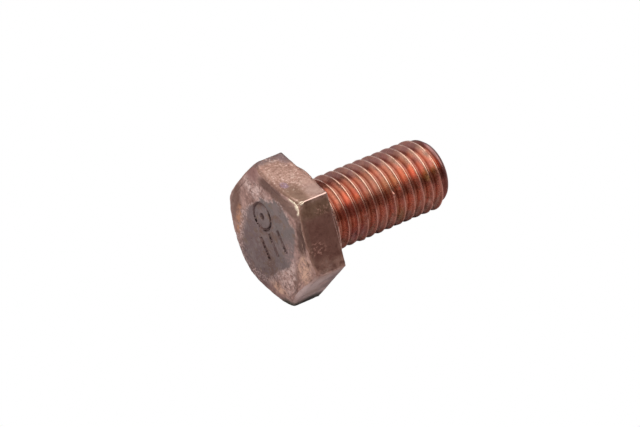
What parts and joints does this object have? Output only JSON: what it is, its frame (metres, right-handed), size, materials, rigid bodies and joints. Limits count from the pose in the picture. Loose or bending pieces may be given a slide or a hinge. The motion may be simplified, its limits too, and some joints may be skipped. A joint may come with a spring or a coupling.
{
  "type": "hex bolt",
  "caption": "Copper-plated steel hex bolt: chamfered hexagon head with a thin washer face, threaded right up to the head, chamfered tip.",
  "frame": {"origin": "centre of the head's flat top face; the bearing face is 5.5 mm along +Y from it, on the same axis", "axes": "+Y along the screw's axis from the head to the tip; +Z square to one of the six wrench flats, and up; +X through a corner of the hexagon"},
  "size_m": [0.0194, 0.0256, 0.0168],
  "materials": {
    "copper_plated_steel": "copper plated over steel, oxidised to reddish brown, worn grey on the head's top face"
  },
  "bodies": {
    "root": {"hex_bolt": "copper_plated_steel"}
  },
  "joints": []
}
